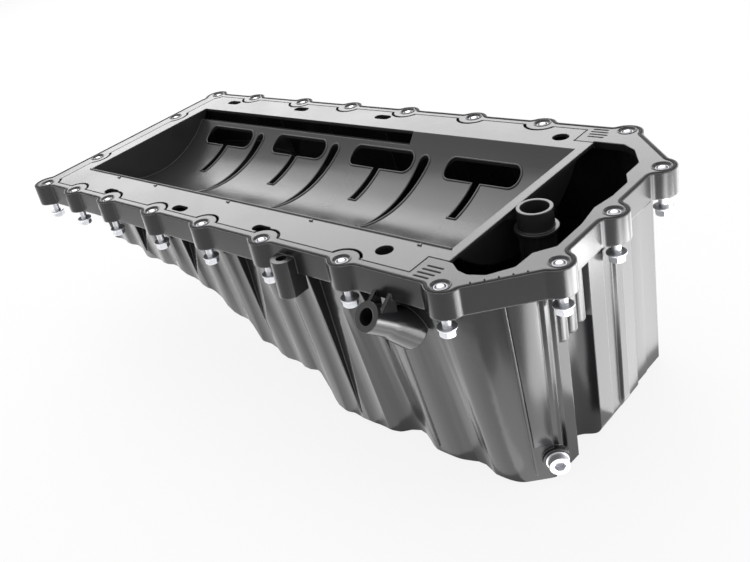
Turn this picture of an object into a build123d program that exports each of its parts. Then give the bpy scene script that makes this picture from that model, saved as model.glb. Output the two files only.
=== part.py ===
"""Plastic engine oil pan with a let-in windage tray and captive flange bolts.

Millimetres. The flange's sealing face is z = 0 and the centre line is y = 0. The first pair of side bolts
is at x = 0 and the deep end is towards +X.
"""
from math import cos, pi, sin, sqrt
import os

from build123d import *

os.makedirs("parts", exist_ok=True)

# Bolt rows
row_y = 150.0
end_row_x = 64.0
left_row_x = -608.0
near_x = [0.0, -103.0, -205.0, -295.0, -381.0, -469.0, -543.0, left_row_x]
far_x = [2.0, -87.0, -170.0, -261.0, -350.0, -435.0, -528.0, left_row_x]
end_y = [-86.0, 0.0, 86.0]
left_y = [-70.0, 67.0]
near_bolts = [(x, -row_y) for x in near_x]
far_bolts = [(x, row_y) for x in far_x]
end_bolts = [(end_row_x, y) for y in end_y]
left_bolts = [(left_row_x, y) for y in left_y]
bolts = near_bolts + far_bolts + end_bolts + left_bolts

# Flange
deck = 8.0
skirt_depth = 25.0
skirt_wall = 4.0
neck_out = 4.0
end_neck = 1.5
left_neck = 12.0
corner_out = 14.5
boss_r = 16.3
boss_shift = 4.0
boss_disc_r = 16.0
column_r = 11.0
neck_fillet = 6.0

# Gasket groove
groove_inset = 0.9
groove_width = 2.9
groove_depth = 2.5
gasket_proud = 0.6
gasket_slack = 0.05

# Corners of the well mouth
mouth_round = 4.0

# Shallow grooves in the deck beside the first pair of side bolts: y, x from, x to
hatch = [(146.0, -29.0, -14.0), (140.5, -29.0, -12.0), (135.0, -28.0, -10.0), (129.5, -27.0, -11.0)]
hatch_width = 1.8
hatch_depth = 1.2

# Housing
wall = 3.5
half_width = 140.0
end_wall_x = 49.0
left_wall_x = -592.0
left_half = 112.0
left_shoulder = 77.0
depth = 217.0
side_draft = 15.0
lean = 24.0
corner_cut = 147.0
flute_count = 12
flute_pitch = 32.0
flute_top = 1.4
flute_foot = 2.4
flute_fade = 0.3
side_stations = 63
corner_r_top = 52.0
corner_r_foot = 30.0
bottom_round = 12.0
step_round = 6.0
bulge = 3.5

# Soft bays in the foot of the side walls at the deep end: x, half width, depth
bays = [(-88.0, 33.0, 17.0), (-15.0, 24.0, 10.0)]

# Wedge steps in the side walls: x at the top, x at the foot, z of the foot
wedges = [(-451.0, -446.0, -72.0), (-364.0, -356.0, -84.0), (-273.0, -260.0, -134.0), (-169.0, -150.0, -203.0)]
wedge_depth = 15.0
wedge_run = 62.0
fin_wedge = (-112.0, -72.0, -202.0)

# Thin fins on the near wall and on its corner: x and y at the top, x and y at the foot, turn
fins = [(-76.0, -132.0, -54.0, -121.0, 90.0), (29.0, -116.0, 36.5, -109.5, -45.0)]
fin_length = 13.0
fin_thick = 1.8
fin_top = -18.0
fin_foot = -206.0

# Pocket and gussets in the end wall
pocket_y = (-66.0, -33.0)
pocket_x = 36.0
pocket_top = -84.0
lobe_out = 8.0
gusset_y = [-71.5, -57.0, -43.5]
gusset_foot = [-86.0, -86.0, -84.0]
gusset_x = 48.5
gusset_r = 7.5
gusset_round = 3.0

# Windage tray
tray_thick = 3.5
tray_gap = 1.0
tray_boss_gap = 2.8
tray_left = -600.0
tray_right = -34.0
tray_half = 144.0
strip_right = -14.5
strip_half = 118.0
trough_r = 127.0
trough_axis_z = 78.0
trough_wall = 3.0
trough_left = -580.0
trough_right = -24.0
slot_pitch = 131.3
first_slot_x = -508.0
bar_size = (89.0, 22.0)
bar_y = 74.0
stem_width = 10.0
stem_end_y = 16.0
crescent_tip_y = -47.0
crescent_top_y = 76.0
crescent_r = 7.0
scraper_right = -215.0
scraper_wall_y = 101.0
scraper_low = 12.0

# Sleeves and bolts
sleeve_r = 5.9
sleeve_seat = 0.1
sleeve_top = -1.2
counterbore_r = 7.3
bolt_bore_r = 4.4
shank_r = 4.0
bolt_hang = 10.5
bolt_tip_z = -0.5
bolt_flange_r = 8.5
bolt_flange_h = 3.5
bolt_head_af = 13.0
bolt_head_h = 7.5

# Side lug
lug_x = -170.0
lug_y = -160.0
lug_r = 11.0
lug_bore_r = 5.0
lug_top = -8.0
lug_foot = -46.0

# Dipstick port
port_root = Vector(-55.0, -138.0, -62.0)
port_mouth = Vector(-62.0, -175.0, -32.0)
port_r = 13.5
port_bore_r = 7.75
port_flare_r = 20.0
port_rib_x = [-67.0, -51.0]
port_rib_thick = 3.0
port_inward = 40.0
port_outward = 15.0

# Suction pipe and strainer
pipe_x = 2.0
pipe_y = -16.0
pipe_r = 15.5
pipe_bore_r = 12.25
pipe_top = 1.5
pipe_foot = -182.0
collar_r = 19.0
collar_z = -17.0
collar_h = 3.0
pipe_ribs = 6
bell_r = 30.0
bell_wall = 2.5
bell_h = 22.0
foot_h = 8.0

# Drain plug on the cut corner of the deep well
plug_along = 50.0
plug_z = -195.0
plug_thread_r = 7.0
plug_head_r = 9.0
plug_head_h = 7.0
seal_r = 10.0
seal_thick = 1.5
plug_boss_r = 12.0
plug_seat = 0.1

floor_line = [
    (-560.0, -58.0),
    (-518.0, -59.0),
    (-506.0, -67.0),
    (-462.0, -71.0),
    (-448.0, -82.0),
    (-388.0, -84.0),
    (-370.0, -93.0),
    (-340.0, -101.0),
    (-302.0, -129.0),
    (-284.0, -131.0),
    (-276.0, -152.0),
    (-234.0, -167.0),
    (-198.0, -169.0),
    (-186.0, -203.0),
    (-170.0, -212.0),
    (-140.0, -depth),
]


def flange_plan(inset):
    """Flange outline: straight necks between round bosses, moved in by inset."""
    side = row_y + neck_out
    end = end_row_x - end_neck
    cut = row_y + corner_out
    left = left_row_x - left_neck
    bosses = [(x, y + boss_shift) for x, y in near_bolts]
    bosses += [(x, y - boss_shift) for x, y in far_bolts]
    bosses += [(x - boss_shift, y) for x, y in end_bolts]
    bosses += [(x + boss_shift, y) for x, y in left_bolts]
    with BuildSketch() as plan:
        with BuildLine():
            Polyline(
                (left, -side),
                (cut - side, -side),
                (end, end - cut),
                (end, cut - end),
                (cut - side, side),
                (left + 30.0, side),
                (left, side - 26.0),
                close=True,
            )
        make_face()
        with Locations(*bosses):
            Circle(boss_r)
        with Locations((left_row_x - boss_shift, 1.0 - row_y)):
            Circle(boss_disc_r)
        offset(amount=neck_fillet)
        offset(amount=-neck_fillet - inset)
    return plan.sketch


def side_line(down, inset):
    """Side wall from the left shoulder to the cut corner: x and distance from the centre line.

    The flutes fade on the inner face and in the wide bays at the deep end.
    """
    edge = half_width - side_draft * down - inset
    swing = flute_top + (flute_foot - flute_top) * down
    start = left_wall_x + left_shoulder + lean * down
    step = flute_pitch / 4
    line = []
    for i in range(side_stations):
        x = start + i * step
        fade = flute_fade if inset or i > 4 * flute_count else 1.0
        flute = fade * swing * cos(pi * (i + 0.5) / 2)
        dips = [d / 2 * (1 + cos(pi * (x - c) / w)) for c, w, d in bays if abs(x - c) < w]
        line.append((x, edge + flute - down * sum(dips)))
    return line


def housing_plan(z, inset):
    """Plan of the walls at height z: fluted sides, rounded cut corners and a stepped end wall."""
    down = -z / depth
    edge = half_width - side_draft * down - inset
    cut = corner_cut - inset * (sqrt(2) - 1)
    right = end_wall_x - inset
    side = side_line(down, inset)
    with BuildSketch(Plane.XY.offset(z)) as plan:
        with BuildLine():
            Polyline(
                (left_wall_x + inset, inset - left_half),
                *[(x, -y) for x, y in side],
                (cut - inset - edge, -edge),
                (right, right + inset - cut),
                (right - 1.5, -95.0),
                (right + 2.0, -92.5),
                (right + 2.5, -88.0),
                (right - 1.5, -86.0),
                (right - 1.0, -82.0),
                (right + 2.5, -80.0),
                (right + 3.5, pocket_y[0]),
                (right + 1.0, pocket_y[0] + 2.0),
                (right + 1.0, pocket_y[1] - 2.0),
                (right + lobe_out, pocket_y[1]),
                (right + lobe_out, -10.0),
                (right + lobe_out - 3.0, -8.0),
                (right + lobe_out - 3.0, 9.0),
                (right + lobe_out, 11.0),
                (right + lobe_out, 22.0),
                (right + lobe_out - 3.0, 24.0),
                (right + lobe_out - 4.0, 46.0),
                (right + 1.0, 48.0),
                (right + 1.0, 70.0),
                (right, 72.0),
                (right, cut - inset - right),
                (cut - inset - edge, edge),
                *side[::-1],
                (left_wall_x + inset, left_half - inset),
                close=True,
            )
        make_face()
        corners = [v for v in plan.vertices() if abs(v.X + edge - cut + inset) < 0.01 and abs(v.Y) > edge - 0.01]
        fillet(corners, corner_r_top + (corner_r_foot - corner_r_top) * down - inset)
    return plan.sketch


def wedge(top_x, foot_x, foot_z, side, inset):
    """Tapering saw-tooth step: a steep face towards the deep end and a slow return, gone at the foot."""
    foot_half = half_width + side_draft * foot_z / depth
    run = wedge_run + 4 * inset
    cut = wedge_depth + inset
    with BuildPart() as step:
        with BuildSketch(Plane.XY.offset(-skirt_depth + 10.0 + inset)):
            with BuildLine():
                Polyline(
                    (top_x - inset, side * (half_width + 4.0)),
                    (top_x - inset, side * (half_width - cut)),
                    (top_x + run, side * (half_width + 4.0)),
                    close=True,
                )
            make_face()
        with BuildSketch(Plane.XY.offset(foot_z - 2 * inset)):
            with BuildLine():
                Polyline(
                    (foot_x - inset, side * (foot_half + 4.0)),
                    (foot_x - inset, side * (foot_half - inset)),
                    (foot_x + 8.0 + inset, side * (foot_half + 4.0)),
                    close=True,
                )
            make_face()
        loft(ruled=True)
    return step.part


def housing(top, inset):
    """Closed body inside the walls, moved in by inset, above the stepped floor line."""
    lowest = floor_line[-1]
    end = end_wall_x + lobe_out - inset
    low = inset - depth
    low_edge = half_width - side_draft + bulge - inset
    turn = bottom_round - inset
    with BuildPart() as block:
        add(housing_plan(top, inset))
        add(housing_plan(-depth, inset))
        loft(ruled=True)
        with BuildSketch(Plane.XZ) as profile:
            with BuildLine():
                Polyline(
                    (left_wall_x - 20.0, inset - 58.0),
                    *[(x, z + inset) for x, z in floor_line],
                    (end, inset - depth),
                    (end, 0.0),
                    (left_wall_x - 20.0, 0.0),
                    close=True,
                )
            make_face()
            steps = [v for v in profile.vertices() if left_wall_x < v.X < lowest[0] - 1.0]
            fillet(steps, step_round)
            bottom = [v for v in profile.vertices() if v.X > end - 1.0 and v.Y < inset - depth + 1.0]
            fillet(bottom, turn)
        extrude(amount=half_width + 20.0, both=True, mode=Mode.INTERSECT)
        with BuildSketch(Plane.YZ.offset(left_row_x)):
            with BuildLine():
                ThreePointArc(
                    (low_edge, low + turn),
                    (low_edge - turn * (1 - sin(pi / 4)), low + turn * (1 - cos(pi / 4))),
                    (low_edge - turn, low),
                )
                Polyline(
                    (low_edge - turn, low),
                    (low_edge - turn, low - turn),
                    (low_edge + turn, low - turn),
                    (low_edge + turn, low + turn),
                    (low_edge, low + turn),
                )
            make_face()
            mirror(about=Plane.YZ)
        extrude(amount=2 * end_row_x - left_row_x, mode=Mode.SUBTRACT)
        for top_x, foot_x, foot_z in wedges + [fin_wedge]:
            for side in (-1, 1):
                add(wedge(top_x, foot_x, foot_z, side, inset), mode=Mode.SUBTRACT)
        with BuildSketch(Plane.XY.offset(pocket_top + inset)):
            with BuildLine():
                Line((end_row_x, pocket_y[1]), (end_wall_x + lobe_out, pocket_y[1]))
                ThreePointArc(
                    (end_wall_x + lobe_out, pocket_y[1]),
                    (pocket_x + 7.0, pocket_y[1] - 4.0),
                    (pocket_x, pocket_y[1] - 14.0),
                )
                Polyline(
                    (pocket_x, pocket_y[1] - 14.0),
                    (pocket_x, pocket_y[0] + 3.0),
                    (pocket_x + 3.0, pocket_y[0]),
                    (end_row_x, pocket_y[0]),
                    (end_row_x, pocket_y[1]),
                )
            make_face()
            if inset:
                offset(amount=inset, kind=Kind.INTERSECTION)
        extrude(amount=-depth, mode=Mode.SUBTRACT)
    return block.part


def tray_plan(inset, scallop):
    """Tray outline: straight ledges scalloped round the bosses and a strip at the well."""
    with BuildSketch() as plan:
        with BuildLine():
            Polyline(
                (tray_left + inset, inset - tray_half),
                (tray_right - inset, inset - tray_half),
                (tray_right - inset, inset - strip_half),
                (strip_right, inset - strip_half),
                (strip_right, strip_half - inset),
                (tray_right - inset, strip_half - inset),
                (tray_right - inset, tray_half - inset),
                (tray_left + inset, tray_half - inset),
                close=True,
            )
        make_face()
        with Locations(*bolts):
            Circle(boss_disc_r + scallop, mode=Mode.SUBTRACT)
    return plan.sketch


outer_block = housing(1.0 - deck, 0.0)
inner_block = housing(1.0 - deck, wall)
outline = flange_plan(0.0)
skirt_line = flange_plan(skirt_wall)
groove_outer = flange_plan(groove_inset)
groove_inner = flange_plan(groove_inset + groove_width)
tray_pocket = tray_plan(0.0, 0.0)

port_axis = (port_mouth - port_root).normalized()
port_length = (port_mouth - port_root).length
port_base = Plane(origin=port_root, z_dir=port_axis)

plug_x = plug_along
plug_y = plug_along - corner_cut
plug_plane = Plane(origin=(plug_x, plug_y, plug_z), z_dir=(1, -1, 0))

with BuildPart() as pan_shell:
    add(outline)
    extrude(amount=-deck)
    with BuildSketch():
        add(outline)
        add(skirt_line, mode=Mode.SUBTRACT)
    extrude(amount=-skirt_depth)
    with BuildSketch():
        with Locations(*bolts):
            Circle(column_r)
    extrude(amount=-skirt_depth)
    add(outer_block)

    with BuildSketch(Plane.XY.offset(lug_foot)):
        with Locations((lug_x, lug_y)):
            Circle(lug_r)
        with Locations((lug_x, (lug_y - row_y) / 2)):
            Rectangle(2 * lug_r, abs(lug_y + row_y) + 2 * neck_out)
    extrude(amount=lug_top - lug_foot)

    with BuildSketch(port_base.offset(-6.0)):
        Circle(port_flare_r)
    with BuildSketch(port_base.offset(port_length * 0.55)):
        Circle(port_r)
    loft()
    with BuildSketch(port_base):
        Circle(port_r)
    extrude(amount=port_length)
    for rib_x in port_rib_x:
        with BuildSketch(Plane.YZ.offset(rib_x - port_rib_thick / 2)):
            with BuildLine():
                Polyline(
                    (-row_y, -skirt_depth + 6.0),
                    (-row_y, -50.0),
                    (-168.0, -40.0),
                    (-170.5, -29.0),
                    (-row_y - neck_out, -skirt_depth + 6.0),
                    close=True,
                )
            make_face()
        extrude(amount=port_rib_thick)

    for gusset, foot in zip(gusset_y, gusset_foot):
        with BuildPart(mode=Mode.PRIVATE) as column:
            with BuildSketch(Plane.XY.offset(foot)):
                with Locations((gusset_x, gusset)):
                    Circle(gusset_r)
            extrude(amount=-deck - foot)
            fillet(column.edges().sort_by(Axis.Z)[:1], gusset_round)
        add(column.part)
    for top_x, top_y, foot_x, foot_y, turn in fins:
        with BuildSketch(Plane.XY.offset(fin_top)):
            with Locations((top_x, top_y)):
                Rectangle(fin_length, fin_thick, rotation=turn)
        with BuildSketch(Plane.XY.offset(fin_foot)):
            with Locations((foot_x, foot_y)):
                Rectangle(fin_length, fin_thick, rotation=turn)
        loft(ruled=True)

    with BuildSketch(plug_plane.offset(-wall)):
        Circle(plug_boss_r)
    extrude(amount=wall + 3.0)

    add(inner_block, mode=Mode.SUBTRACT)
    add(tray_pocket)
    extrude(amount=-tray_thick, mode=Mode.SUBTRACT)
    with BuildSketch(Plane.XY.offset(-deck - 1.0)):
        with BuildLine():
            Polyline(
                (left_wall_x + wall, wall - left_half),
                (left_wall_x + left_shoulder, wall - half_width),
                (tray_right - 4.0, wall - half_width),
                (tray_right - 4.0, 3.0 - strip_half),
                (strip_right, 3.0 - strip_half),
                (strip_right, strip_half - 3.0),
                (tray_right - 4.0, strip_half - 3.0),
                (tray_right - 4.0, half_width - wall),
                (left_wall_x + left_shoulder, half_width - wall),
                (left_wall_x + wall, left_half - wall),
                close=True,
            )
        make_face()
    extrude(amount=deck, mode=Mode.SUBTRACT)
    with BuildSketch(Plane.XY.offset(-deck - 1.0)) as well_mouth:
        with BuildLine():
            Polyline(
                (strip_right - 1.0, -118.0),
                (-10.0, -119.0),
                (0.0, -126.5),
                (10.0, -129.0),
                (24.0, -124.0),
                (38.0, -105.0),
                (39.0, -82.0),
                (51.0, -66.0),
                (51.0, -28.0),
                (47.0, 0.0),
                (51.0, 24.0),
                (51.0, 50.0),
                (43.0, 64.0),
                (43.0, 88.0),
                (28.0, 111.0),
                (14.0, 120.0),
                (strip_right - 1.0, 120.0),
                close=True,
            )
        make_face()
        fillet(well_mouth.vertices().sort_by(Axis.X)[2:], mouth_round)
    extrude(amount=deck + 2.0, mode=Mode.SUBTRACT)

    with BuildSketch():
        add(groove_outer)
        add(groove_inner, mode=Mode.SUBTRACT)
    extrude(amount=-groove_depth, mode=Mode.SUBTRACT)

    with BuildSketch():
        with Locations(*bolts):
            Circle(sleeve_r + sleeve_seat)
    extrude(amount=-skirt_depth, mode=Mode.SUBTRACT)
    with BuildSketch():
        with Locations(*bolts):
            Circle(counterbore_r)
    extrude(amount=sleeve_top, mode=Mode.SUBTRACT)
    with BuildSketch():
        for y, first_x, last_x in hatch:
            with Locations(((first_x + last_x) / 2, y), ((first_x + last_x) / 2, -y)):
                SlotOverall(last_x - first_x, hatch_width)
    extrude(amount=-hatch_depth, mode=Mode.SUBTRACT)
    with BuildSketch(Plane.XY.offset(lug_foot)):
        with Locations((lug_x, lug_y)):
            Circle(lug_bore_r)
    extrude(amount=lug_top - lug_foot, mode=Mode.SUBTRACT)
    with BuildSketch(port_base.offset(-port_inward)):
        Circle(port_bore_r)
    extrude(amount=port_inward + port_length + port_outward, mode=Mode.SUBTRACT)
    with BuildSketch(plug_plane.offset(-wall - 8.0)):
        Circle(plug_thread_r + plug_seat)
    extrude(amount=wall + 12.0, mode=Mode.SUBTRACT)
pan_shell.part.label = "pan_shell"

with BuildPart() as windage_tray:
    add(tray_plan(tray_gap, tray_boss_gap))
    extrude(amount=-tray_thick)
    with BuildSketch(Plane.YZ.offset(trough_left - trough_wall)):
        with Locations((0.0, trough_axis_z)):
            Circle(trough_r + trough_wall)
        with Locations((0.0, trough_axis_z)):
            Rectangle(4 * trough_r, 2 * trough_axis_z, mode=Mode.SUBTRACT)
        with Locations((0.0, trough_axis_z + trough_r)):
            Rectangle(4 * trough_r, 2 * trough_r, mode=Mode.SUBTRACT)
    extrude(amount=trough_right - trough_left + 2 * trough_wall)
    with BuildSketch(Plane.YZ.offset(trough_left)):
        with Locations((0.0, trough_axis_z)):
            Circle(trough_r)
    extrude(amount=trough_right - trough_left, mode=Mode.SUBTRACT)

    slot_x = [first_slot_x + i * slot_pitch for i in range(4)]
    with BuildSketch() as slots:
        for x in slot_x:
            with Locations((x, bar_y)):
                RectangleRounded(bar_size[0], bar_size[1], 0.45 * bar_size[1])
            with Locations((x, (bar_y + stem_end_y) / 2)):
                Rectangle(stem_width, bar_y - stem_end_y)
        for x in slot_x[:3]:
            mid = x + slot_pitch / 2 - 8.0
            with BuildLine():
                Polyline(
                    (mid - crescent_r, crescent_top_y),
                    (mid - 1.0, crescent_tip_y),
                    (mid + 1.0, crescent_tip_y),
                    (mid + crescent_r, crescent_top_y),
                    close=True,
                )
            make_face()
            with Locations((mid, crescent_top_y)):
                Circle(crescent_r)
    extrude(amount=-trough_r, mode=Mode.SUBTRACT)
    with BuildSketch(Plane.XY.offset(-scraper_low)):
        with Locations(((trough_left + scraper_right) / 2, scraper_wall_y - 7.0)):
            Rectangle(scraper_right - trough_left, 14.0)
    extrude(amount=scraper_low, mode=Mode.SUBTRACT)

    with BuildSketch():
        with Locations((-482, -135), (-349, -135), (-220, -135), (-548, 128), (-416, 128), (-281, 128)):
            SlotOverall(22.0, 11.0)
        with Locations((-77, -123), (-51, 122)):
            Circle(8.0)
    extrude(amount=-tray_thick, mode=Mode.SUBTRACT)
windage_tray.part.label = "windage_tray"

with BuildPart() as flange_gasket:
    with BuildSketch(Plane.XY.offset(-groove_depth)):
        add(flange_plan(groove_inset + gasket_slack))
        add(flange_plan(groove_inset + groove_width - gasket_slack), mode=Mode.SUBTRACT)
    extrude(amount=groove_depth + gasket_proud)
flange_gasket.part.label = "flange_gasket"

with BuildPart() as bolt_sleeves:
    with BuildSketch(Plane.XY.offset(sleeve_top)):
        with Locations(*bolts):
            Circle(sleeve_r)
            Circle(bolt_bore_r, mode=Mode.SUBTRACT)
    extrude(amount=-skirt_depth - sleeve_top)
bolt_sleeves.part.label = "bolt_sleeves"

with BuildPart() as suction_pipe:
    with BuildSketch(Plane.XY.offset(pipe_foot)):
        with Locations((pipe_x, pipe_y)):
            Circle(pipe_r)
    extrude(amount=pipe_top - pipe_foot)
    with BuildSketch(Plane.XY.offset(collar_z)):
        with Locations((pipe_x, pipe_y)):
            Circle(collar_r)
    extrude(amount=-collar_h)
    with BuildSketch(Plane.XY.offset(pipe_foot + 20.0)):
        with Locations((pipe_x, pipe_y)):
            with PolarLocations(pipe_r, pipe_ribs):
                Rectangle(4.0, 2.5)
    extrude(amount=collar_z - pipe_foot - 20.0)
    with BuildSketch(Plane.XY.offset(pipe_foot)):
        with Locations((pipe_x, pipe_y)):
            Circle(pipe_bore_r)
    extrude(amount=pipe_top - pipe_foot, mode=Mode.SUBTRACT)
suction_pipe.part.label = "suction_pipe"

bell_low = wall - depth + foot_h
with BuildPart() as suction_strainer:
    with BuildSketch(Plane.XY.offset(bell_low)):
        with Locations((pipe_x, pipe_y)):
            Circle(bell_r)
    with BuildSketch(Plane.XY.offset(pipe_foot)):
        with Locations((pipe_x, pipe_y)):
            Circle(pipe_r)
    loft()
    with BuildSketch(Plane.XY.offset(bell_low)):
        with Locations((pipe_x, pipe_y)):
            Circle(bell_r - bell_wall)
    with BuildSketch(Plane.XY.offset(pipe_foot)):
        with Locations((pipe_x, pipe_y)):
            Circle(pipe_bore_r)
    loft(mode=Mode.SUBTRACT)
    with BuildSketch(Plane.XY.offset(bell_low)):
        with Locations((pipe_x, pipe_y)):
            with PolarLocations(bell_r - 3.0, 4, start_angle=45.0):
                Rectangle(5.0, 5.0)
    extrude(amount=-foot_h)
suction_strainer.part.label = "suction_strainer"

with BuildPart() as drain_seal:
    with BuildSketch(plug_plane.offset(3.0)):
        Circle(seal_r)
        Circle(plug_thread_r + plug_seat, mode=Mode.SUBTRACT)
    extrude(amount=seal_thick)
drain_seal.part.label = "drain_seal"

with BuildPart() as drain_plug:
    with BuildSketch(plug_plane.offset(3.0 + seal_thick)):
        Circle(plug_head_r)
    extrude(amount=plug_head_h)
    with BuildSketch(plug_plane.offset(-wall - 4.0)):
        Circle(plug_thread_r)
    extrude(amount=wall + 7.0 + seal_thick)
    with BuildSketch(plug_plane.offset(3.0 + seal_thick + plug_head_h)):
        RegularPolygon(5.0, 6)
    extrude(amount=-plug_head_h + 1.5, mode=Mode.SUBTRACT)
drain_plug.part.label = "drain_plug"

export_step(pan_shell.part, "parts/pan_shell.step")
export_step(windage_tray.part, "parts/windage_tray.step")
export_step(flange_gasket.part, "parts/flange_gasket.step")
export_step(bolt_sleeves.part, "parts/bolt_sleeves.step")
export_step(suction_pipe.part, "parts/suction_pipe.step")
export_step(suction_strainer.part, "parts/suction_strainer.step")
export_step(drain_seal.part, "parts/drain_seal.step")
export_step(drain_plug.part, "parts/drain_plug.step")

flange_top_z = -skirt_depth - bolt_hang
bolt_rows = {"near": near_bolts, "far": far_bolts, "end": end_bolts, "left": left_bolts}
for row, places in bolt_rows.items():
    for number, place in enumerate(places, start=1):
        with BuildPart() as bolt:
            with BuildSketch(Plane.XY.offset(bolt_tip_z)):
                with Locations(place):
                    Circle(shank_r)
            extrude(amount=flange_top_z - bolt_tip_z)
            with BuildSketch(Plane.XY.offset(flange_top_z)):
                with Locations(place):
                    Circle(bolt_flange_r)
            extrude(amount=-bolt_flange_h)
            with BuildSketch(Plane.XY.offset(flange_top_z - bolt_flange_h)):
                with Locations(place):
                    RegularPolygon(bolt_head_af / 2, 6, major_radius=False)
            extrude(amount=-bolt_head_h)
        bolt.part.label = f"bolt_{row}_{number}"
        export_step(bolt.part, f"parts/bolt_{row}_{number}.step")
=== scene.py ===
# %% [markdown]
# # A plastic engine oil pan, dressed in Blender
# The pan's solids come from CAD as a fixed frame. This lesson lights them, gives every solid a procedural
# material and adds the small fittings that are easier to shape here. Everything is in metres. The sealing
# face of the flange is z = 0, the centre line is y = 0 and the deep end points towards +X.

# %% Load the frame
import math

import bmesh
import bpy
from mathutils import Matrix, Vector


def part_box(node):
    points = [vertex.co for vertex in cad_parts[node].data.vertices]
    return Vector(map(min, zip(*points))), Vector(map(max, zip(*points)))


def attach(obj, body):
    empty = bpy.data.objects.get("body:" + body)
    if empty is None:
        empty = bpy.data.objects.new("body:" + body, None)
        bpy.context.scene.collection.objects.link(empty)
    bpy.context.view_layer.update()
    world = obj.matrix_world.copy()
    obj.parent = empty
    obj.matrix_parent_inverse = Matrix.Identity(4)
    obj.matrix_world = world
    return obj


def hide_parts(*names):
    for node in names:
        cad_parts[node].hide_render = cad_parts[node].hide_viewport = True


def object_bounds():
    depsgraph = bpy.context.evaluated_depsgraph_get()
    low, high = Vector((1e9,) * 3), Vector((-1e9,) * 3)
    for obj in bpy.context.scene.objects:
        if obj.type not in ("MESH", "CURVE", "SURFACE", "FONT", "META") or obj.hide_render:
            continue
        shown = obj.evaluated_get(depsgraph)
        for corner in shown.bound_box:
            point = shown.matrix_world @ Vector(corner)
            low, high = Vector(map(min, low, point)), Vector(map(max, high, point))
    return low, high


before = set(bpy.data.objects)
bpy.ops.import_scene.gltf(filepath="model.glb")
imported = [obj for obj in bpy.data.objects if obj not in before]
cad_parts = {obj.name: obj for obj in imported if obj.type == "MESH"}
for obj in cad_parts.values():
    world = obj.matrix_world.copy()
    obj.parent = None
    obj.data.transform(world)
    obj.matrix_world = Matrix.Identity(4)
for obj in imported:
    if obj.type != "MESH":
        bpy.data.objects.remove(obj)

cad_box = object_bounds()
print("nodes:", len(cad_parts), "box:", [list(corner) for corner in cad_box])

# %% [markdown]
# ## The camera
# The photograph looks down into the deep end from the near corner. A camera could be turned by eye until
# the pan looks right, but then every later comparison would be off by some pixels. The one below was worked
# out from the bolt positions, so the pan's outline lands where it does in the picture. A small lens shift
# keeps the pan off-centre in the frame without turning the camera.

# %% Camera
camera_data = bpy.data.cameras.new("camera")
camera_data.sensor_width = 36.0
camera_data.lens = 41.591
camera_data.shift_x = 0.1556
camera_data.shift_y = -0.0366
camera_data.clip_start = 0.01
camera = bpy.data.objects.new("camera", camera_data)
camera.location = (0.37974, -0.59255, 0.35522)
camera_turn = (62.3685, 13.8612, 46.2065)
camera.rotation_euler = tuple(math.radians(angle) for angle in camera_turn)
bpy.context.scene.collection.objects.link(camera)
bpy.context.scene.camera = camera
print("camera stands", round(camera.location.length, 3), "m from the frame's origin")

# %% [markdown]
# ## Floor and world
# The pan stands on white paper in a white room. Strong lamps could burn both to white, but they would wash
# out the black plastic too. Instead the floor and the world look white to the camera, to glossy rays and to
# rays through glass, and stay plain for everything else. The floor keeps a faint shadow, because only part
# of its colour is that white glow.

# %% Colour management
scene = bpy.context.scene
scene.view_settings.view_transform = "Standard"
print("view transform:", scene.view_settings.view_transform)


# %% Small helpers
def deselect():
    """Nothing selected and nothing active, so the next operator touches only what it makes."""
    if bpy.context.mode != "OBJECT":
        bpy.ops.object.mode_set(mode="OBJECT")
    bpy.ops.object.select_all(action="DESELECT")


def new_material(name):
    """An empty node material and its tree, with an output node in place."""
    material = bpy.data.materials.new(name)
    material.use_nodes = True
    tree = material.node_tree
    tree.nodes.clear()
    output = tree.nodes.new("ShaderNodeOutputMaterial")
    return material, tree, output


def seen_white(tree):
    """A mask that is 1 for camera, glossy and transmission rays and 0 for the rest."""
    ray = tree.nodes.new("ShaderNodeLightPath")
    mask = ray.outputs["Is Camera Ray"]
    for kind in ("Is Glossy Ray", "Is Transmission Ray"):
        larger = tree.nodes.new("ShaderNodeMath")
        larger.operation = "MAXIMUM"
        tree.links.new(mask, larger.inputs[0])
        tree.links.new(ray.outputs[kind], larger.inputs[1])
        mask = larger.outputs[0]
    return mask


print("helpers ready:", deselect.__name__, new_material.__name__, seen_white.__name__)

# %% Floor
FLOOR_SIZE = 40.0
FLOOR_GAP = 0.0005
FLOOR_GLOW = 0.86
PAPER = (0.86, 0.86, 0.86, 1.0)
floor_z = cad_box[0][2] - FLOOR_GAP
deselect()
bpy.ops.mesh.primitive_plane_add(size=FLOOR_SIZE, location=(-0.25, 0.0, floor_z))
floor = bpy.context.active_object
floor.name = "studio_floor"
bpy.ops.object.transform_apply(location=True, rotation=True, scale=True)

paper, paper_tree, paper_out = new_material("pale_paper")
paper_shader = paper_tree.nodes.new("ShaderNodeBsdfDiffuse")
paper_shader.inputs["Color"].default_value = PAPER
paper_glow = paper_tree.nodes.new("ShaderNodeEmission")
paper_glow.inputs["Strength"].default_value = 1.0
paper_mix = paper_tree.nodes.new("ShaderNodeMixShader")
glow_share = paper_tree.nodes.new("ShaderNodeMath")
glow_share.operation = "MULTIPLY"
glow_share.inputs[1].default_value = FLOOR_GLOW
paper_tree.links.new(seen_white(paper_tree), glow_share.inputs[0])
paper_tree.links.new(glow_share.outputs[0], paper_mix.inputs["Fac"])
paper_tree.links.new(paper_shader.outputs[0], paper_mix.inputs[1])
paper_tree.links.new(paper_glow.outputs[0], paper_mix.inputs[2])
paper_tree.links.new(paper_mix.outputs[0], paper_out.inputs["Surface"])
floor.data.materials.append(paper)
print("floor at", round(floor_z, 4))

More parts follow.
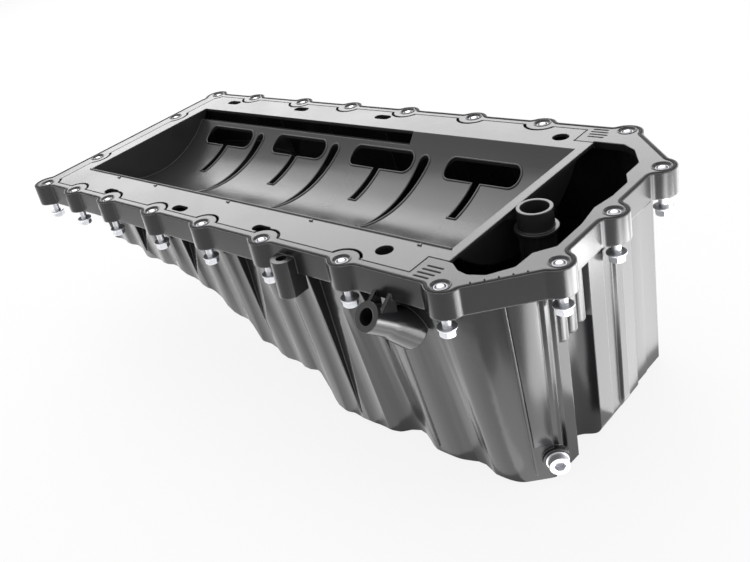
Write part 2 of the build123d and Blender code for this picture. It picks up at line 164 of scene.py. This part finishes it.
# %% World
WHITE = (1.0, 1.0, 1.0, 1.0)
world = bpy.data.worlds.new("studio_world")
scene.world = world
world.use_nodes = True
world_tree = world.node_tree
world_tree.nodes.clear()
world_out = world_tree.nodes.new("ShaderNodeOutputWorld")
sky_mix = world_tree.nodes.new("ShaderNodeMixShader")
for number, strength in ((1, 0.55), (2, 1.0)):
    sky = world_tree.nodes.new("ShaderNodeBackground")
    sky.inputs["Color"].default_value = WHITE
    sky.inputs["Strength"].default_value = strength
    world_tree.links.new(sky.outputs[0], sky_mix.inputs[number])
    print("world strength", strength, "for", "the surfaces" if number == 1 else "the white background")
world_tree.links.new(seen_white(world_tree), sky_mix.inputs["Fac"])
world_tree.links.new(sky_mix.outputs[0], world_out.inputs["Surface"])


# %% [markdown]
# ## Lamps
# Black plastic is lit by what it reflects: its flat tops show a lamp far behind, its walls show the table.
# One bright lamp would leave most of it black, so wide soft boxes stand behind, above and beside the pan.

# %% Lamps
def soft_box(name, place, aim, size_x, size_y, power):
    """A rectangular area lamp at place, turned to face aim."""
    data = bpy.data.lights.new(name, "AREA")
    data.shape = "RECTANGLE"
    data.size = size_x
    data.size_y = size_y
    data.energy = power
    lamp = bpy.data.objects.new(name, data)
    lamp.location = place
    lamp.rotation_euler = (Vector(aim) - Vector(place)).to_track_quat("-Z", "Y").to_euler()
    lamp.visible_camera = False
    scene.collection.objects.link(lamp)
    return lamp


lamps = [
    soft_box("back_box", (-2.4, 2.35, 1.45), (-0.2, 0.0, 0.0), 3.5, 1.7, 58.0),
    soft_box("high_box", (-1.6, 1.1, 2.1), (-0.3, 0.0, 0.0), 2.0, 1.2, 17.0),
    soft_box("top_box", (-0.4, 0.1, 1.7), (-0.3, 0.0, 0.0), 1.6, 1.2, 10.0),
    soft_box("end_box", (1.5, 0.9, 0.1), (0.05, 0.0, -0.12), 1.1, 0.6, 12.0),
    soft_box("near_box", (-1.0, -1.7, 0.35), (-0.25, -0.1, -0.1), 1.5, 0.9, 3.0),
]
print("lamps:", [lamp.name for lamp in lamps])


# %% [markdown]
# ## Light table
# The walls lean in towards the floor, so from above they mirror the table close to the pan and the hanging
# skirt mirrors it further out. Painting the floor brighter would light both alike. Flat lamps that lie on
# the floor, each between two corners and with its own power, light every stretch of wall by itself.

# %% Table panels
def table_panel(name, low, high, power, lift=0.001):
    """A lamp that lies on the floor between two (x, y) corners and shines up, as a lit table top does."""
    middle = ((low[0] + high[0]) / 2, (low[1] + high[1]) / 2)
    place = (*middle, floor_z + lift)
    return soft_box(name, place, (*middle, 1.0), high[0] - low[0], high[1] - low[1], power)


panels = [
    table_panel("end_panel", (0.058, 0.0), (0.9, 1.0), 7.2),
    table_panel("side_panel", (0.16, -0.17), (0.9, 0.0), 2.8),
    table_panel("corner_panel", (0.03, -0.26), (0.17, -0.10), 0.15),
    table_panel("skirt_panel", (0.22, -0.08), (0.42, 0.28), 2.0, lift=0.004),
    table_panel("near_panel", (-1.1, -0.34), (0.05, -0.13), 0.95),
    table_panel("far_panel", (-1.1, 0.14), (0.05, 0.38), 1.2),
    table_panel("left_panel", (-1.05, -0.3), (-0.64, 0.3), 1.1),
]
print("panels:", [panel.name for panel in panels])

# %% [markdown]
# ## Shared finishes
# Moulded plastic isn't flat black: glass fibre near the surface breaks the gloss into fine grain, the melt
# leaves faint streaks of different gloss along its flow, and edges are painted paler, partly as wear and
# partly as a painted sheen where a rounded rim catches light. The nodes could be repeated in every material,
# but the plastics, the rubber and the metals all use them, so they are made once as two node groups with
# named sockets, one for grain and streaks and one for edges.


# %% Node groups
def start_group(name, inputs, outputs):
    """A node group with float or colour sockets, given as (name, kind, default)."""
    group = bpy.data.node_groups.new(name, "ShaderNodeTree")
    for label, kind, value in inputs:
        socket = group.interface.new_socket(name=label, in_out="INPUT", socket_type=kind)
        socket.default_value = value
    for label, kind in outputs:
        group.interface.new_socket(name=label, in_out="OUTPUT", socket_type=kind)
    return group, group.nodes.new("NodeGroupInput"), group.nodes.new("NodeGroupOutput")


def math_node(tree, operation, first, second):
    """A math node whose inputs are sockets or plain numbers."""
    node = tree.nodes.new("ShaderNodeMath")
    node.operation = operation
    for slot, value in zip(node.inputs, (first, second)):
        if isinstance(value, (int, float)):
            slot.default_value = value
        else:
            tree.links.new(value, slot)
    return node.outputs[0]


# %% Grain group
grain_group, grain_in, grain_out = start_group(
    "moulded_grain",
    [("Scale", "NodeSocketFloat", 900.0), ("Streak", "NodeSocketFloat", 14.0)],
    [("Height", "NodeSocketFloat"), ("Patches", "NodeSocketFloat")],
)
where = grain_group.nodes.new("ShaderNodeTexCoord")
fine = grain_group.nodes.new("ShaderNodeTexNoise")
fine.inputs["Detail"].default_value = 3.0
grain_group.links.new(where.outputs["Object"], fine.inputs["Vector"])
grain_group.links.new(grain_in.outputs["Scale"], fine.inputs["Scale"])
stretch = grain_group.nodes.new("ShaderNodeMapping")
stretch.inputs["Scale"].default_value = (1.0, 1.0, 0.22)
grain_group.links.new(where.outputs["Object"], stretch.inputs["Vector"])
streak = grain_group.nodes.new("ShaderNodeTexNoise")
streak.inputs["Detail"].default_value = 4.0
streak.inputs["Distortion"].default_value = 0.6
grain_group.links.new(stretch.outputs["Vector"], streak.inputs["Vector"])
grain_group.links.new(grain_in.outputs["Streak"], streak.inputs["Scale"])
grain_group.links.new(fine.outputs["Fac"], grain_out.inputs["Height"])
grain_group.links.new(streak.outputs["Fac"], grain_out.inputs["Patches"])
print("group:", grain_group.name)

# %% Edge group
# The paler edge colour is partly wear and partly a painted sheen along the edges; the Bevel normal only
# rounds the shading.
EDGE_GAIN = 6.0
edge_group, edge_in, edge_out = start_group(
    "edge_wear_and_sheen",
    [("Width", "NodeSocketFloat", 0.0012), ("Break-up", "NodeSocketFloat", 120.0)],
    [("Mask", "NodeSocketFloat"), ("Normal", "NodeSocketVector")],
)
rounded = edge_group.nodes.new("ShaderNodeBevel")
rounded.samples = 6
edge_group.links.new(edge_in.outputs["Width"], rounded.inputs["Radius"])
flat = edge_group.nodes.new("ShaderNodeNewGeometry")
compare = edge_group.nodes.new("ShaderNodeVectorMath")
compare.operation = "DOT_PRODUCT"
edge_group.links.new(rounded.outputs["Normal"], compare.inputs[0])
edge_group.links.new(flat.outputs["Normal"], compare.inputs[1])
turned = math_node(edge_group, "SUBTRACT", 1.0, compare.outputs["Value"])
edge_where = edge_group.nodes.new("ShaderNodeTexCoord")
edge_break_up = edge_group.nodes.new("ShaderNodeTexNoise")
edge_group.links.new(edge_where.outputs["Object"], edge_break_up.inputs["Vector"])
edge_group.links.new(edge_in.outputs["Break-up"], edge_break_up.inputs["Scale"])
raised = math_node(edge_group, "MULTIPLY", turned, EDGE_GAIN)
broken = math_node(edge_group, "MULTIPLY", raised, edge_break_up.outputs["Fac"])
edge_limit = edge_group.nodes.new("ShaderNodeClamp")
edge_group.links.new(broken, edge_limit.inputs["Value"])
edge_group.links.new(edge_limit.outputs[0], edge_out.inputs["Mask"])
edge_group.links.new(rounded.outputs["Normal"], edge_out.inputs["Normal"])
print("group:", edge_group.name)


# %% [markdown]
# ## Materials
# The pan is glossy black, the tray is a little paler, the rubber is dull and the bolts are zinc-plated.
# Each could be one flat colour, but then it would look painted on. So every material mixes two colours by
# the streaks, pales its edges, moves its roughness with the streaks and takes a bump from the fine grain.
# Numbers that are the same all over a surface are typed on the shader.


# %% Material builder
NOISE_LOW = 0.25
NOISE_HIGH = 0.75
GRAIN_DEPTH = 0.0002


def place_group(tree, group, **values):
    """A group node whose inputs are set by name."""
    node = tree.nodes.new("ShaderNodeGroup")
    node.node_tree = group
    for label, value in values.items():
        node.inputs[label].default_value = value
    return node


def colour_mix(tree, mask, first, second):
    """Mixes two colours, each a socket or a plain triple, by a mask."""
    node = tree.nodes.new("ShaderNodeMix")
    node.data_type = "RGBA"
    tree.links.new(mask, node.inputs["Factor"])
    for label, value in (("A", first), ("B", second)):
        slot = [s for s in node.inputs if s.name == label and s.type == "RGBA"][0]
        if isinstance(value, tuple):
            slot.default_value = (*value, 1.0)
        else:
            tree.links.new(value, slot)
    return [s for s in node.outputs if s.type == "RGBA"][0]


def spread(tree, mask, low, high):
    """Maps the usual range of a noise mask to the range from low to high."""
    node = tree.nodes.new("ShaderNodeMapRange")
    node.inputs["From Min"].default_value = NOISE_LOW
    node.inputs["From Max"].default_value = NOISE_HIGH
    node.inputs["To Min"].default_value = low
    node.inputs["To Max"].default_value = high
    tree.links.new(mask, node.inputs["Value"])
    return node.outputs[0]


def finish(name, dark, light, edge, rough, grain, streaks, bump,
           metallic=0.0, ior=1.5, edge_width=0.0012):
    """A grainy, streaked material with edges painted paler, partly as wear and partly as a painted sheen."""
    material, tree, output = new_material(name)
    shader = tree.nodes.new("ShaderNodeBsdfPrincipled")
    shader.inputs["Metallic"].default_value = metallic
    shader.inputs["IOR"].default_value = ior
    texture = place_group(tree, grain_group, Scale=grain, Streak=streaks)
    wear_and_sheen = place_group(tree, edge_group, Width=edge_width)
    base = colour_mix(tree, texture.outputs["Patches"], dark, light)
    # Edges are mixed to a paler colour: partly wear, partly a painted sheen.
    worn_and_sheened = colour_mix(tree, wear_and_sheen.outputs["Mask"], base, edge)
    tree.links.new(worn_and_sheened, shader.inputs["Base Color"])
    tree.links.new(spread(tree, texture.outputs["Patches"], *rough), shader.inputs["Roughness"])
    relief = tree.nodes.new("ShaderNodeBump")
    relief.inputs["Strength"].default_value = bump
    relief.inputs["Distance"].default_value = GRAIN_DEPTH
    tree.links.new(texture.outputs["Height"], relief.inputs["Height"])
    tree.links.new(wear_and_sheen.outputs["Normal"], relief.inputs["Normal"])
    tree.links.new(relief.outputs["Normal"], shader.inputs["Normal"])
    tree.links.new(shader.outputs[0], output.inputs["Surface"])
    return material


# %% Pan, tray, rubber and metals
moulded = finish("moulded_black", (0.011, 0.011, 0.012), (0.019, 0.019, 0.021), (0.06, 0.06, 0.064),
                 (0.16, 0.27), 900.0, 14.0, 0.25, ior=1.5, edge_width=0.0016)
tray_plastic = finish("tray_black", (0.021, 0.021, 0.023), (0.033, 0.033, 0.035), (0.06, 0.06, 0.064),
                      (0.18, 0.3), 1100.0, 9.0, 0.2, ior=1.55)
rubber = finish("gasket_rubber", (0.008, 0.008, 0.008), (0.014, 0.014, 0.014), (0.02, 0.02, 0.02),
                (0.62, 0.78), 700.0, 30.0, 0.3, ior=1.4)
zinc = finish("bright_zinc", (0.48, 0.49, 0.52), (0.66, 0.67, 0.69), (0.85, 0.85, 0.85),
              (0.28, 0.44), 1400.0, 60.0, 0.15, metallic=0.8, edge_width=0.0006)
steel = finish("turned_steel", (0.17, 0.17, 0.18), (0.28, 0.28, 0.3), (0.6, 0.6, 0.6),
               (0.22, 0.38), 1600.0, 80.0, 0.15, metallic=1.0, edge_width=0.0005)
aluminium = finish("seal_aluminium", (0.7, 0.7, 0.71), (0.8, 0.8, 0.81), (0.9, 0.9, 0.9),
                   (0.25, 0.4), 1200.0, 50.0, 0.15, metallic=1.0, edge_width=0.0005)


def node_finish(node_name):
    """The finish that a CAD node gets."""
    if node_name == "pan_shell":
        return moulded
    if node_name in ("windage_tray", "suction_pipe", "suction_strainer"):
        return tray_plastic
    if node_name == "flange_gasket":
        return rubber
    if node_name == "bolt_sleeves":
        return steel
    if node_name == "drain_seal":
        return aluminium
    return zinc


for node_name, node_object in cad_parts.items():
    node_object.data.materials.clear()
    node_object.data.materials.append(node_finish(node_name))
print("materials given to", len(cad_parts), "nodes")

# %% [markdown]
# ## Rounded copies
# A mould has no knife edges: every rim and rib has a small radius that catches a thin line of light, and
# without it black plastic looks like a cut-out. The parts could be modelled again from nothing, but their
# shape is already right. The CAD solids stay as they are, so all nodes but the gasket and the bolts get a
# copy. Its loose triangles are merged, flat neighbours are joined to whole faces, and a Bevel modifier rounds
# the edges as far as the shortest edges allow. The copy then stands in for the solid.

# %% Mesh values
MERGE = 1e-6
FLAT_ANGLE = 0.05
EDGE_ANGLE = 32.0
SMOOTH_ANGLE = 30.0
ROUND_ANGLE = 60.0
FLAT_WEIGHT = 80
print("edges sharper than", EDGE_ANGLE, "degrees are rounded")


# %% Copies
def start_copy(node_name, name):
    """A copy of a CAD node's mesh, alone selected and in edit mode, with its triangles merged."""
    deselect()
    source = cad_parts[node_name]
    piece = bpy.data.objects.new(name, source.data.copy())
    scene.collection.objects.link(piece)
    bpy.context.view_layer.objects.active = piece
    piece.select_set(True)
    piece.data.materials.clear()
    bpy.ops.mesh.customdata_custom_splitnormals_clear()
    bpy.ops.object.mode_set(mode="EDIT")
    bpy.ops.mesh.select_all(action="SELECT")
    bpy.ops.mesh.remove_doubles(threshold=MERGE)
    return piece


def close_piece(piece, material, slot, *nodes):
    """Gives a finished piece its material and body and hides the CAD nodes that it stands for; slot is not
    used.
    """
    deselect()
    piece.data.materials.clear()
    piece.data.materials.append(material)
    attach(piece, "root")
    if nodes:
        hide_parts(*nodes)


def smooth(angle=SMOOTH_ANGLE):
    """Smooths the selected objects, apart from edges sharper than angle in degrees."""
    bpy.ops.object.shade_smooth_by_angle(angle=math.radians(angle))


def round_edges(piece, width, segments):
    """Rounds the sharp edges of the active piece and smooths the rest."""
    bevel = piece.modifiers.new("round", "BEVEL")
    bevel.width = width
    bevel.segments = segments
    bevel.limit_method = "ANGLE"
    bevel.angle_limit = math.radians(EDGE_ANGLE)
    bpy.ops.object.modifier_apply(modifier=bevel.name)
    smooth()
    weighted = piece.modifiers.new("large faces stay flat", "WEIGHTED_NORMAL")
    weighted.keep_sharp = True
    weighted.weight = FLAT_WEIGHT
    bpy.ops.object.modifier_apply(modifier=weighted.name)


def rounded_copy(node_name, name, width, segments, material, slot):
    """A copy with rounded edges that stands for the node."""
    piece = start_copy(node_name, name)
    bpy.ops.mesh.dissolve_limited(angle_limit=math.radians(FLAT_ANGLE))
    bpy.ops.object.mode_set(mode="OBJECT")
    round_edges(piece, width, segments)
    close_piece(piece, material, slot, node_name)
    print(name, len(piece.data.polygons), "faces")
    return piece


rounded_copy("pan_shell", "pan_moulding", 0.0005, 2, moulded, "moulding")
tray_moulding = rounded_copy("windage_tray", "tray_moulding", 0.0006, 2, tray_plastic, "moulding")
rounded_copy("bolt_sleeves", "boss_sleeves", 0.0004, 2, steel, "sleeve")
rounded_copy("suction_pipe", "stand_pipe", 0.0008, 2, tray_plastic, "moulding")
rounded_copy("suction_strainer", "strainer_bell", 0.0006, 2, tray_plastic, "moulding")
rounded_copy("drain_seal", "plug_washer", 0.0003, 2, aluminium, "seal")
rounded_copy("drain_plug", "plug_body", 0.0005, 2, zinc, "zinc")

# %% [markdown]
# ## Flange bolts
# Each bolt hangs in its sleeve: a threaded tip, a plain shank, a round flange with a sloping back, and a
# hexagon whose corners are turned off. A Screw modifier would make a true helix with many faces, which
# nobody sees at this size, so the thread is a row of rings. The turned part is a disc that is extruded and
# scaled step by step. The hexagon is a turned stub that six bisections cut flat. All 21 bolts are copies of
# this one, which is removed at the end.

# %% Bolt values, in metres
TIP_CHAMFER = 0.0006
SHANK_R = 0.0040
THREAD_R = 0.00335
PITCH = 0.00125
THREADS = 17
FLANGE_R = 0.0085
FLANGE_H = 0.0028
FLANGE_RIM = 0.0009
RIM_ROUND = 0.0003
NECK_R = 0.0071
HEAD_H = 0.0056
HEX_FLAT = 0.0065
HEX_LAND = 0.0003
HEX_ROUND = 0.0002
HEX_CORNER_R = 0.00745
HEAD_CHAMFER = 0.0009
BOLT_SIDES = 24
bolt_names = sorted(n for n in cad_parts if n.startswith("bolt_") and n != "bolt_sleeves")
print(len(bolt_names), "bolts")


# %% Turning helpers
def turn(drop, radius, now):
    """Extrudes the selected disc down by drop and scales it from radius now to radius; returns radius."""
    bpy.ops.mesh.extrude_region_move(TRANSFORM_OT_translate={"value": (0.0, 0.0, -drop)})
    share = radius / now
    bpy.ops.transform.resize(value=(share, share, 1.0), center_override=(0.0, 0.0, 0.0))
    return radius


def edit_new(name):
    """Names the new primitive, puts its place into its mesh and selects all of it in edit mode."""
    piece = bpy.context.active_object
    piece.name = name
    bpy.ops.object.transform_apply(location=True, rotation=True, scale=True)
    bpy.ops.object.mode_set(mode="EDIT")
    bpy.ops.mesh.select_all(action="SELECT")
    return piece


def start_disc(name, radius, height, sides):
    """A disc about the z axis, selected in edit mode."""
    deselect()
    bpy.ops.mesh.primitive_circle_add(vertices=sides, radius=radius, fill_type="NGON",
                                      location=(0.0, 0.0, height))
    return edit_new(name)


def end_shape(piece):
    """Points all faces outwards and leaves edit mode."""
    bpy.ops.mesh.select_all(action="SELECT")
    bpy.ops.mesh.normals_make_consistent(inside=False)
    bpy.ops.object.mode_set(mode="OBJECT")
    return piece


def join_pieces(pieces, name):
    """Joins pieces into the first of them, under a new name."""
    deselect()
    for piece in pieces:
        piece.select_set(True)
    bpy.context.view_layer.objects.active = pieces[0]
    bpy.ops.object.join()
    pieces[0].name = name
    return pieces[0]


def to_bolt(bolt_name):
    """The move from the z axis to a bolt's own axis."""
    low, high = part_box(bolt_name)
    return Matrix.Translation(((low[0] + high[0]) / 2, (low[1] + high[1]) / 2, 0.0))


# %% Shank and flange
bolt_low, bolt_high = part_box(bolt_names[0])
bolt_tip = bolt_high[2]
head_low = bolt_low[2]
flange_top = head_low + HEAD_H + FLANGE_H

shank = start_disc("shank", THREAD_R - TIP_CHAMFER, bolt_tip, BOLT_SIDES)
reach = turn(TIP_CHAMFER, THREAD_R, THREAD_R - TIP_CHAMFER)
for number in range(THREADS):
    reach = turn(PITCH / 2, SHANK_R, reach)
    reach = turn(PITCH / 2, THREAD_R, reach)
reach = turn(PITCH / 2, SHANK_R, reach)
used = TIP_CHAMFER + PITCH * THREADS + PITCH / 2
reach = turn(bolt_tip - used - flange_top, SHANK_R, reach)
reach = turn(0.0, FLANGE_R - RIM_ROUND, reach)
reach = turn(RIM_ROUND, FLANGE_R, reach)
reach = turn(FLANGE_RIM, FLANGE_R, reach)
reach = turn(FLANGE_H - RIM_ROUND - FLANGE_RIM, NECK_R, reach)
end_shape(shank)
smooth()
print("shank:", THREADS, "thread rings,", len(shank.data.polygons), "faces")

# %% Hexagon
head = start_disc("head", HEX_CORNER_R, head_low + HEAD_H + RIM_ROUND, BOLT_SIDES * 2)
reach = turn(HEAD_H + RIM_ROUND - HEAD_CHAMFER, HEX_CORNER_R, HEX_CORNER_R)
reach = turn(HEAD_CHAMFER, HEX_FLAT - HEX_LAND, reach)
for side in range(6):
    angle = math.radians(60 * side + 30)
    outward = (math.cos(angle), math.sin(angle), 0.0)
    bpy.ops.mesh.select_all(action="SELECT")
    bpy.ops.mesh.bisect(plane_co=tuple(HEX_FLAT * c for c in outward), plane_no=outward,
                        use_fill=True, clear_outer=True)
end_shape(head)
round_edges(head, HEX_ROUND, 2)
join_pieces([shank, head], "shank")
print("one bolt:", len(shank.data.polygons), "faces, from", round(bolt_tip, 4), "to", round(head_low, 4))

# %% All bolts
for bolt_name in bolt_names:
    bolt = bpy.data.objects.new("hex_" + bolt_name, shank.data.copy())
    bolt.data.transform(to_bolt(bolt_name))
    scene.collection.objects.link(bolt)
    close_piece(bolt, zinc, "zinc", bolt_name)
bpy.data.objects.remove(shank)
print("bolts placed:", len(bolt_names))

# %% [markdown]
# ## Rounded corner of the deep well
# Between its slanting rib and the end wall the real corner is crowned, so it shows one long soft highlight.
# A subdivided cage could be pulled to that shape, but its ends would drift off the rib. So a grid is laid
# over the flat corner, its points are moved out along a curve that starts at the rib and falls to the end
# wall, and its back is extruded into the wall so that it is a closed skin.

# %% Corner values, in metres
CORNER_OUT = 0.1039
CORNER_RIGHT = -0.0349
RIB_AT_TOP = -0.0576
RIB_TOP_Z = -0.060
RIB_LEAN = 0.0527
CROWN = 0.0042
CROWN_TOP = -0.0248
CROWN_LOW = -0.1800
CROWN_FADE = 0.022
SKIN = 0.0012
SKIN_GAP = 0.00002
CROWN_ACROSS = 14
CROWN_DOWN = 30
print("corner skin from z", CROWN_TOP, "to", CROWN_LOW)


# %% Crowned corner
def crown_out(share, height):
    """How far the skin stands out, for a share across from the rib and a height; it fades at the foot."""
    faded = min(1.0, (height - CROWN_LOW) / CROWN_FADE)
    return CROWN * (1.0 - share**2) * math.sin(math.pi / 2 * faded)


deselect()
bpy.ops.mesh.primitive_grid_add(x_subdivisions=CROWN_ACROSS, y_subdivisions=CROWN_DOWN, size=1.0)
crown = bpy.context.active_object
crown.name = "corner_crown"
for vertex in crown.data.vertices:
    share, level = vertex.co.x + 0.5, vertex.co.y + 0.5
    height = CROWN_LOW + (CROWN_TOP - CROWN_LOW) * level
    left = RIB_AT_TOP - RIB_LEAN * (height - RIB_TOP_Z)
    along = left + (CORNER_RIGHT - left) * share
    out = CORNER_OUT + crown_out(share, height) + SKIN_GAP
    vertex.co = ((along + out) / math.sqrt(2), (along - out) / math.sqrt(2), height)
bpy.ops.object.mode_set(mode="EDIT")
bpy.ops.mesh.select_all(action="SELECT")
inward = (-SKIN / math.sqrt(2), SKIN / math.sqrt(2), 0.0)
bpy.ops.mesh.extrude_region_move(TRANSFORM_OT_translate={"value": inward})
end_shape(crown)
smooth()
close_piece(crown, moulded, "moulding")
print("corner crown:", len(crown.data.polygons), "faces")

# %% [markdown]
# ## Gasket bead
# The rubber stands a little out of its groove with a rounded back. A round section could be swept along the
# groove, but the CAD ring already follows it with all its bends. So on a copy of that ring the top faces are
# inset and the old rim is pressed down beside them, and the section becomes a bead.

# %% Gasket
BEAD_INSET = 0.0009
BEAD_DROP = 0.00055
FACES_UP = 0.9
bead = start_copy("flange_gasket", "gasket_bead")
bead_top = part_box("flange_gasket")[1][2]
bpy.ops.mesh.select_all(action="DESELECT")
shape = bmesh.from_edit_mesh(bead.data)
for face in shape.faces:
    face.select = face.normal.z > FACES_UP and face.calc_center_median().z > bead_top - MERGE
bmesh.update_edit_mesh(bead.data)
bpy.ops.mesh.inset(thickness=BEAD_INSET, depth=0.0)
shape = bmesh.from_edit_mesh(bead.data)
for vertex in shape.verts:
    if vertex.co.z > bead_top - MERGE and not vertex.select:
        vertex.co.z -= BEAD_DROP
bmesh.update_edit_mesh(bead.data)
bpy.ops.object.mode_set(mode="OBJECT")
smooth(ROUND_ANGLE)
close_piece(bead, rubber, "gasket", "flange_gasket")
print("gasket bead:", len(bead.data.polygons), "faces")

# %% [markdown]
# ## Lips of the tray's slots
# Each T-slot and crescent has a rolled lip that shines along its edge, and so has the trough's near rim.
# A wide bevel could roll them, but the short edges of the slots' corners hold it back. So the edges that lie
# on the trough's round surface are picked out on a copy of the tray, all the others are deleted, and what is
# left becomes a curve with a round section.

# %% Lip values, in metres
TROUGH_AXIS_Z = 0.078
TROUGH_R = 0.127
LIP_R = 0.0013
LIP_SHARP = 40.0
LIP_SLACK = 0.0003
RIM_Y = -0.09
END_WALL = 0.03
tray_low, tray_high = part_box("windage_tray")
print("tray from x", round(tray_low[0], 3), "to", round(tray_high[0], 3))


# %% Lip edges
def is_lip(edge):
    """True for a sharp edge on the trough's surface that belongs to a slot or to the near rim."""
    if len(edge.link_faces) != 2 or edge.calc_face_angle() < math.radians(LIP_SHARP):
        return False
    ends = [vertex.co for vertex in edge.verts]
    if any(abs(math.hypot(c.y, c.z - TROUGH_AXIS_Z) - TROUGH_R) > LIP_SLACK for c in ends):
        return False
    if all(c.y < RIM_Y for c in ends):
        return abs(ends[0].x - ends[1].x) > abs(ends[0].y - ends[1].y)
    first, last = tray_low[0] + END_WALL, tray_high[0] - END_WALL
    return all(first < c.x < last and abs(c.y) < -RIM_Y for c in ends)


lips = start_copy("windage_tray", "slot_lips")
bpy.ops.mesh.dissolve_limited(angle_limit=math.radians(FLAT_ANGLE))
bpy.ops.mesh.select_mode(type="EDGE")
bpy.ops.mesh.select_all(action="DESELECT")
shape = bmesh.from_edit_mesh(lips.data)
for edge in shape.edges:
    edge.select_set(is_lip(edge))
print("lip edges:", sum(edge.select for edge in shape.edges))
bmesh.update_edit_mesh(lips.data)
bpy.ops.mesh.select_all(action="INVERT")
bpy.ops.mesh.delete(type="EDGE")
bpy.ops.mesh.select_mode(type="VERT")
bpy.ops.object.mode_set(mode="OBJECT")

# %% Round lips
bpy.ops.object.convert(target="CURVE")
lips = bpy.context.active_object
lips.data.bevel_depth = LIP_R
lips.data.bevel_resolution = 2
lips.data.use_fill_caps = True
bpy.ops.object.convert(target="MESH")
lips = bpy.context.active_object
smooth(ROUND_ANGLE)
close_piece(lips, tray_plastic, "moulding")
print("lips:", len(lips.data.polygons), "faces")

# %% [markdown]
# ## Rings on the bolt bosses
# A low round ring is moulded on the flange about every bolt hole, and it draws a bright and a dark circle
# round the sleeve. It could be turned step by step like the bolts, but a torus already has its section.
# One torus is cut level by a bisection just under the flange's face, and its copies go to the bolts' places.

# %% Boss rings
RING_R = 0.0084
RING_ROUND = 0.0008
RING_SINK = 0.0002
RING_SIDES = 36
RING_SECTION = 10
deselect()
bpy.ops.mesh.primitive_torus_add(major_radius=RING_R, minor_radius=RING_ROUND,
                                 major_segments=RING_SIDES, minor_segments=RING_SECTION,
                                 location=(0.0, 0.0, -RING_SINK))
ring = edit_new("ring")
bpy.ops.mesh.bisect(plane_co=(0.0, 0.0, -RING_SINK - RING_ROUND / 2), plane_no=(0.0, 0.0, 1.0),
                    use_fill=True, clear_inner=True)
end_shape(ring)
smooth(ROUND_ANGLE)
rings = []
for bolt_name in bolt_names:
    copy = bpy.data.objects.new("ring", ring.data.copy())
    copy.data.transform(to_bolt(bolt_name))
    scene.collection.objects.link(copy)
    rings.append(copy)
bpy.data.objects.remove(ring)
boss_rings = join_pieces(rings, "boss_rings")
close_piece(boss_rings, moulded, "moulding")
print("boss rings:", len(bolt_names), "rings,", len(boss_rings.data.polygons), "faces")

# %% [markdown]
# ## Ticks on the near ledge
# Five small three-sided lugs stand on the tray's near ledge beside the trough. They could be cut from
# cubes, but a disc with three sides is a triangle already. It is extruded down into the ledge and its edges
# are rounded. A ray sent down from above finds the height of the ledge that carries it.

# %% Ticks
TICK_PLACES = (-0.508, -0.433, -0.303, -0.181, -0.053)
TICK_Y = -0.1045
TICK_R = 0.0026
TICK_HEIGHT = 0.0011
TICK_FOOT = 0.0004
TICK_ROUND = 0.0003
RAY_START_Z = 0.05
ticks = []
bpy.context.view_layer.update()
for tick_x in TICK_PLACES:
    ledge = tray_moulding.ray_cast((tick_x, TICK_Y, RAY_START_Z), (0.0, 0.0, -1.0))[1]
    tick = start_disc("tick", TICK_R, ledge.z + TICK_HEIGHT, 3)
    turn(TICK_HEIGHT + TICK_FOOT, TICK_R, TICK_R)
    end_shape(tick)
    round_edges(tick, TICK_ROUND, 2)
    tick.data.transform(Matrix.Translation((tick_x, TICK_Y, 0.0)))
    ticks.append(tick)
ledge_ticks = join_pieces(ticks, "ledge_ticks")
close_piece(ledge_ticks, tray_plastic, "moulding")
print("ticks:", len(TICK_PLACES), "on a ledge at", round(ledge.z, 4))

# %% [markdown]
# ## Sealing nubs
# Five small pips stand on the gasket where it crosses the cut corner. Bump in the rubber's material would
# vanish at their outline, so they are shapes: balls whose foot is cut level by a bisection, spaced evenly
# between two points.

# %% Nubs
NUB_R = 0.0008
NUB_FIRST = (0.0195, -0.1384)
NUB_LAST = (0.0504, -0.1076)
NUB_COUNT = 5
NUB_SINK = 0.0002
NUB_CUT = 0.0004
NUB_SIDES = 14
NUB_RINGS = 8
gasket_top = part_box("flange_gasket")[1][2]
nubs = []
for number in range(NUB_COUNT):
    share = number / (NUB_COUNT - 1)
    place = [a + (b - a) * share for a, b in zip(NUB_FIRST, NUB_LAST)]
    deselect()
    bpy.ops.mesh.primitive_uv_sphere_add(segments=NUB_SIDES, ring_count=NUB_RINGS, radius=NUB_R,
                                         location=(*place, gasket_top - NUB_SINK))
    nub = edit_new("nub")
    bpy.ops.mesh.bisect(plane_co=(*place, gasket_top - NUB_CUT), plane_no=(0.0, 0.0, 1.0),
                        use_fill=True, clear_inner=True)
    nubs.append(end_shape(nub))
gasket_nubs = join_pieces(nubs, "gasket_nubs")
smooth()
close_piece(gasket_nubs, rubber, "gasket")
print("nubs:", NUB_COUNT)
